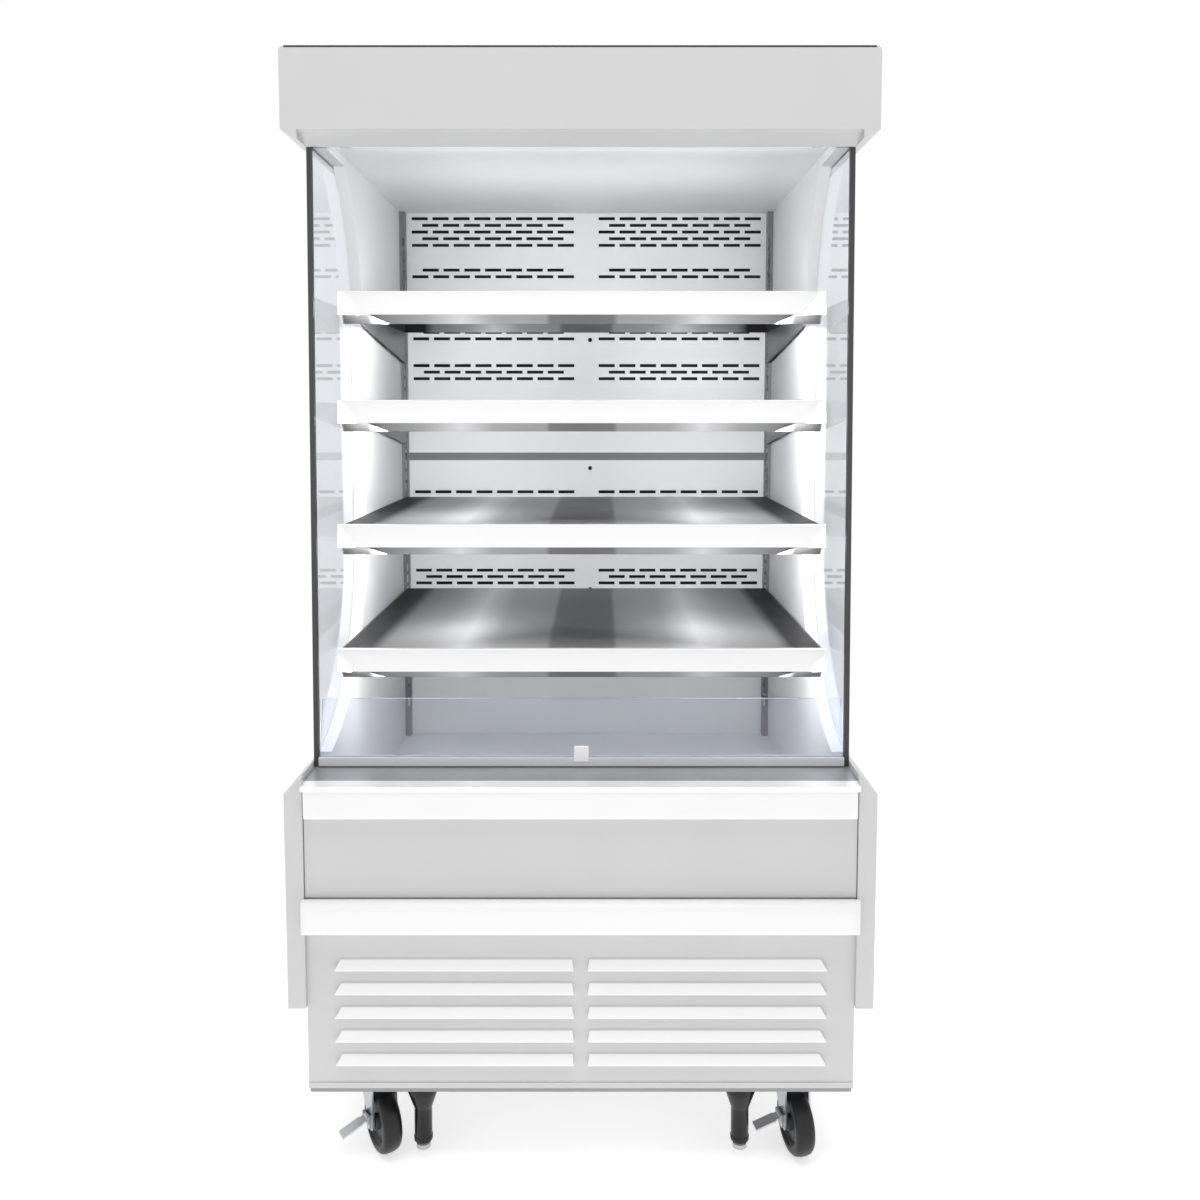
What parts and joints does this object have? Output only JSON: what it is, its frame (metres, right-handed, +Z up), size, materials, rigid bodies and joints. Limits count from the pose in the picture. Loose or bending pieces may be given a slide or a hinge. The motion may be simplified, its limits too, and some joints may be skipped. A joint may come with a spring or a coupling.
{
  "type": "open multideck display fridge",
  "caption": "Open-front multideck display fridge with glass sides, tilting steel shelves, a louvred base, swivel casters and levelling legs.",
  "frame": {"origin": "on the floor under the middle of the cabinet's width and depth", "axes": "+Z up, the open front faces -Y, +X is on the right of someone standing in front"},
  "size_m": [0.914, 0.89, 1.765],
  "materials": {
    "insulated_panel": "satin",
    "body_cover": "satin",
    "body_sheet": "satin",
    "louvre_sheet": "satin",
    "liner_sheet": "satin",
    "deck_sheet": "satin",
    "grille_sheet": "satin",
    "frame_steel": "matte",
    "upright_steel": "satin",
    "side_glass": "gloss",
    "riser_glass": "gloss",
    "dark_trim": "satin",
    "honeycomb_white": "matte",
    "lamp_diffuser": "satin",
    "screw_steel": "satin",
    "channel_white": "satin",
    "sill_steel": "satin",
    "bumper_white": "satin",
    "shelf_steel": "satin",
    "price_rail_white": "gloss",
    "coil_fins": "satin",
    "fan_black": "matte",
    "compressor_black": "gloss",
    "galvanised_sheet": "matte",
    "copper_line": "satin",
    "zinc_steel": "satin",
    "pedal_steel": "satin",
    "caster_rubber": "matte",
    "leg_black": "satin",
    "foot_steel": "satin"
  },
  "bodies": {
    "cabinet": {"base_frame": "frame_steel", "side_wall_left": "insulated_panel", "side_wall_right": "insulated_panel", "side_glass": "side_glass", "glass_edge_trims": "dark_trim", "base_side_covers": "body_cover", "canopy_end_caps": "body_cover", "canopy_fascia": "body_sheet", "roof_panel": "insulated_panel", "ceiling_panel": "liner_sheet", "discharge_honeycomb": "honeycomb_white", "canopy_lamp": "lamp_diffuser", "rear_wall": "insulated_panel", "back_panel_upper": "liner_sheet", "back_panel_lower": "liner_sheet", "panel_screws": "screw_steel", "shelf_frame": "upright_steel", "insulated_tub": "insulated_panel", "deck_pan": "deck_sheet", "return_grille": "grille_sheet", "riser_glass": "riser_glass", "riser_channel": "channel_white", "sill": "sill_steel", "front_bumpers": "bumper_white", "front_panel": "body_sheet", "louvre_panel": "louvre_sheet", "machine_housing": "body_sheet", "evaporator_coil": "coil_fins", "evaporator_fan_frames": "fan_black", "compressor": "compressor_black", "condenser_coil": "coil_fins", "condenser_shroud": "galvanised_sheet", "refrigerant_lines": "copper_line", "electrical_box": "galvanised_sheet", "evaporation_pan": "galvanised_sheet", "caster_plates": "zinc_steel", "leg_sleeves": "leg_black"},
    "shelf_1_unit": {"shelf_1": "shelf_steel", "price_rail_1": "price_rail_white"},
    "shelf_2_unit": {"shelf_2": "shelf_steel", "price_rail_2": "price_rail_white"},
    "shelf_3_unit": {"shelf_3": "shelf_steel", "price_rail_3": "price_rail_white"},
    "shelf_4_unit": {"shelf_4": "shelf_steel", "price_rail_4": "price_rail_white"},
    "front_left_fork": {"caster_fork_front_left": "zinc_steel"},
    "front_left_wheel": {"caster_wheel_front_left": "caster_rubber"},
    "front_left_pedal": {"brake_pedal_front_left": "pedal_steel"},
    "front_right_fork": {"caster_fork_front_right": "zinc_steel"},
    "front_right_wheel": {"caster_wheel_front_right": "caster_rubber"},
    "front_right_pedal": {"brake_pedal_front_right": "pedal_steel"},
    "rear_left_fork": {"caster_fork_rear_left": "zinc_steel"},
    "rear_left_wheel": {"caster_wheel_rear_left": "caster_rubber"},
    "rear_right_fork": {"caster_fork_rear_right": "zinc_steel"},
    "rear_right_wheel": {"caster_wheel_rear_right": "caster_rubber"},
    "foot_left": {"leg_foot_left": "foot_steel"},
    "foot_right": {"leg_foot_right": "foot_steel"},
    "condenser_rotor": {"condenser_fan": "fan_black"},
    "evaporator_rotor_left": {"evaporator_fan_left": "fan_black"},
    "evaporator_rotor_right": {"evaporator_fan_right": "fan_black"}
  },
  "joints": [
    {"name": "shelf_1_tilt", "type": "hinge", "parent": "cabinet", "child": "shelf_1_unit", "pos_m": [0, 0.302, 0.8083], "axis": [-1, 0, 0], "range_deg": [0, 8]},
    {"name": "shelf_2_tilt", "type": "hinge", "parent": "cabinet", "child": "shelf_2_unit", "pos_m": [0, 0.302, 1.0115], "axis": [-1, 0, 0], "range_deg": [0, 8]},
    {"name": "shelf_3_tilt", "type": "hinge", "parent": "cabinet", "child": "shelf_3_unit", "pos_m": [0, 0.302, 1.2147], "axis": [-1, 0, 0], "range_deg": [0, 8]},
    {"name": "shelf_4_tilt", "type": "hinge", "parent": "cabinet", "child": "shelf_4_unit", "pos_m": [0, 0.302, 1.3925], "axis": [-1, 0, 0], "range_deg": [0, 8]},
    {"name": "front_left_swivel", "type": "hinge", "parent": "cabinet", "child": "front_left_fork", "pos_m": [-0.345, -0.3235, 0.13], "axis": [0, 0, 1], "continuous": true},
    {"name": "front_left_wheel_spin", "type": "hinge", "parent": "front_left_fork", "child": "front_left_wheel", "pos_m": [-0.32711, -0.35003, 0.05], "axis": [0.829, 0.5592, 0], "continuous": true},
    {"name": "front_left_pedal_press", "type": "hinge", "parent": "front_left_fork", "child": "front_left_pedal", "pos_m": [-0.35103, -0.36159, 0.062], "axis": [0.5592, -0.829, 0], "range_deg": [0, 20]},
    {"name": "front_right_swivel", "type": "hinge", "parent": "cabinet", "child": "front_right_fork", "pos_m": [0.345, -0.3235, 0.13], "axis": [0, 0, 1], "continuous": true},
    {"name": "front_right_wheel_spin", "type": "hinge", "parent": "front_right_fork", "child": "front_right_wheel", "pos_m": [0.35165, -0.3548, 0.05], "axis": [0.9781, 0.2079, 0], "continuous": true},
    {"name": "front_right_pedal_press", "type": "hinge", "parent": "front_right_fork", "child": "front_right_pedal", "pos_m": [0.32514, -0.35655, 0.062], "axis": [0.2079, -0.9781, 0], "range_deg": [0, 20]},
    {"name": "rear_left_swivel", "type": "hinge", "parent": "cabinet", "child": "rear_left_fork", "pos_m": [-0.345, 0.34, 0.13], "axis": [0, 0, 1], "continuous": true},
    {"name": "rear_left_wheel_spin", "type": "hinge", "parent": "rear_left_fork", "child": "rear_left_wheel", "pos_m": [-0.32711, 0.31347, 0.05], "axis": [0.829, 0.5592, 0], "continuous": true},
    {"name": "rear_right_swivel", "type": "hinge", "parent": "cabinet", "child": "rear_right_fork", "pos_m": [0.345, 0.34, 0.13], "axis": [0, 0, 1], "continuous": true},
    {"name": "rear_right_wheel_spin", "type": "hinge", "parent": "rear_right_fork", "child": "rear_right_wheel", "pos_m": [0.35165, 0.3087, 0.05], "axis": [0.9781, 0.2079, 0], "continuous": true},
    {"name": "foot_left_height", "type": "slide", "parent": "cabinet", "child": "foot_left", "axis": [0, 0, 1], "range_m": [-0.018, 0.01]},
    {"name": "foot_right_height", "type": "slide", "parent": "cabinet", "child": "foot_right", "axis": [0, 0, 1], "range_m": [-0.018, 0.01]},
    {"name": "condenser_fan_spin", "type": "hinge", "parent": "cabinet", "child": "condenser_rotor", "pos_m": [-0.06, -0.319, 0.254], "axis": [0, 1, 0], "continuous": true},
    {"name": "evaporator_fan_left_spin", "type": "hinge", "parent": "cabinet", "child": "evaporator_rotor_left", "pos_m": [-0.19, -0.3045, 0.432], "axis": [0, 1, 0], "continuous": true},
    {"name": "evaporator_fan_right_spin", "type": "hinge", "parent": "cabinet", "child": "evaporator_rotor_right", "pos_m": [0.19, -0.3045, 0.432], "axis": [0, 1, 0], "continuous": true}
  ]
}
